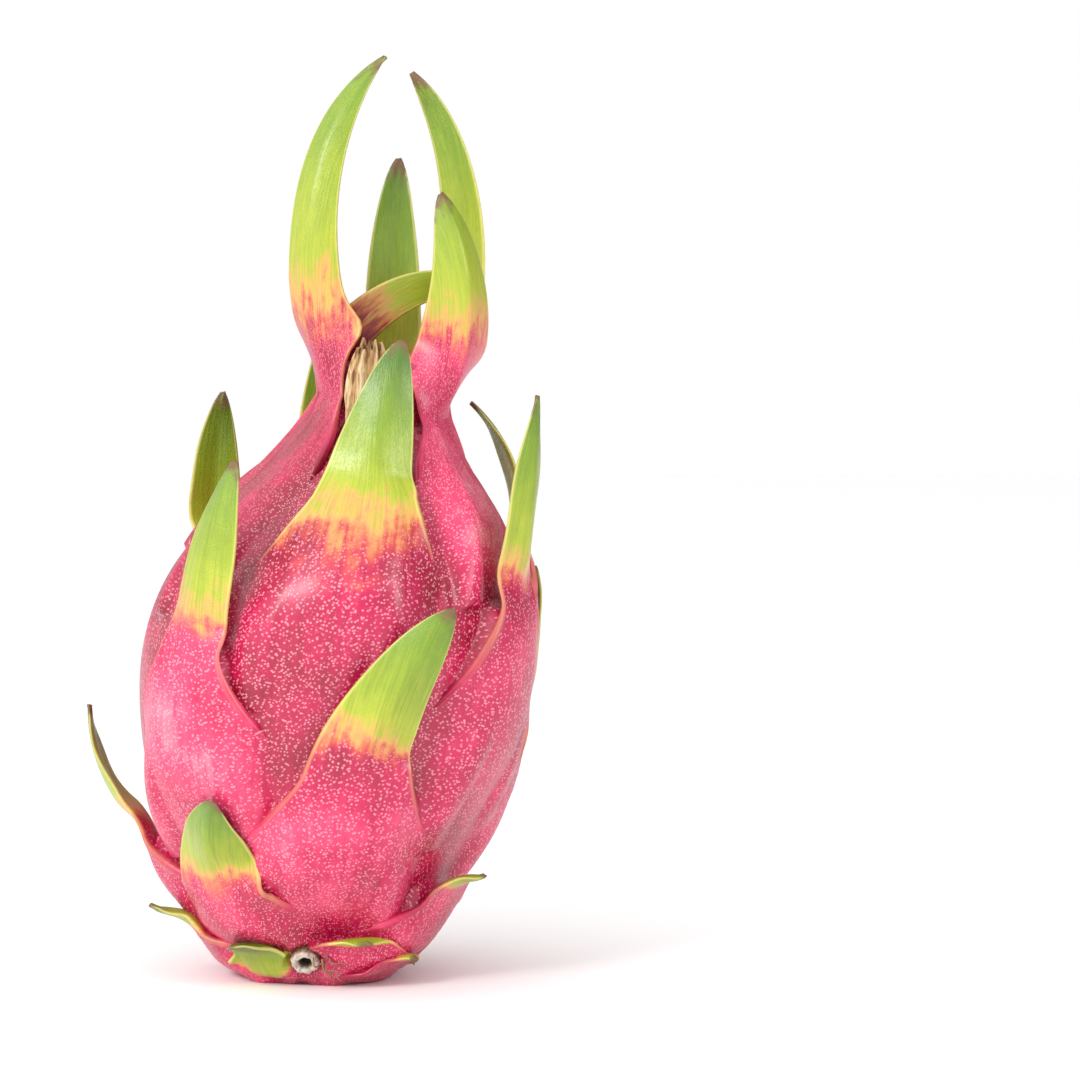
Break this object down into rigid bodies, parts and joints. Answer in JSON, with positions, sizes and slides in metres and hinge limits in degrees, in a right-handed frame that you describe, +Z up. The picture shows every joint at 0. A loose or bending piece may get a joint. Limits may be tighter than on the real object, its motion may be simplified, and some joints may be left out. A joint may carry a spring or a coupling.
{
  "type": "dragon fruit",
  "caption": "Whole dragon fruit standing on its stem end: a pear-shaped pink rind with a neck and leaf-like green-tipped scales grown out of it, dried flower in the crown, woody stem scar.",
  "frame": {"origin": "middle of the small flat spot that the fruit stands on", "axes": "+Z up along the standing fruit towards its crown; -Y is the front that the picture shows; +X is the side that the neck leans to"},
  "size_m": [0.1001, 0.1001, 0.2021],
  "materials": {
    "rind": "waxy magenta-pink fruit skin with fine pale dots, turning orange and yellow-green along the scales to dark green tips",
    "dried_petal": "withered straw-brown petals, matt and wrinkled",
    "woody_scar": "dry dark brown cut stem, rough and fibrous"
  },
  "bodies": {
    "root": {"fruit": "rind", "dried_flower": "dried_petal", "stem_scar": "woody_scar"}
  },
  "joints": []
}
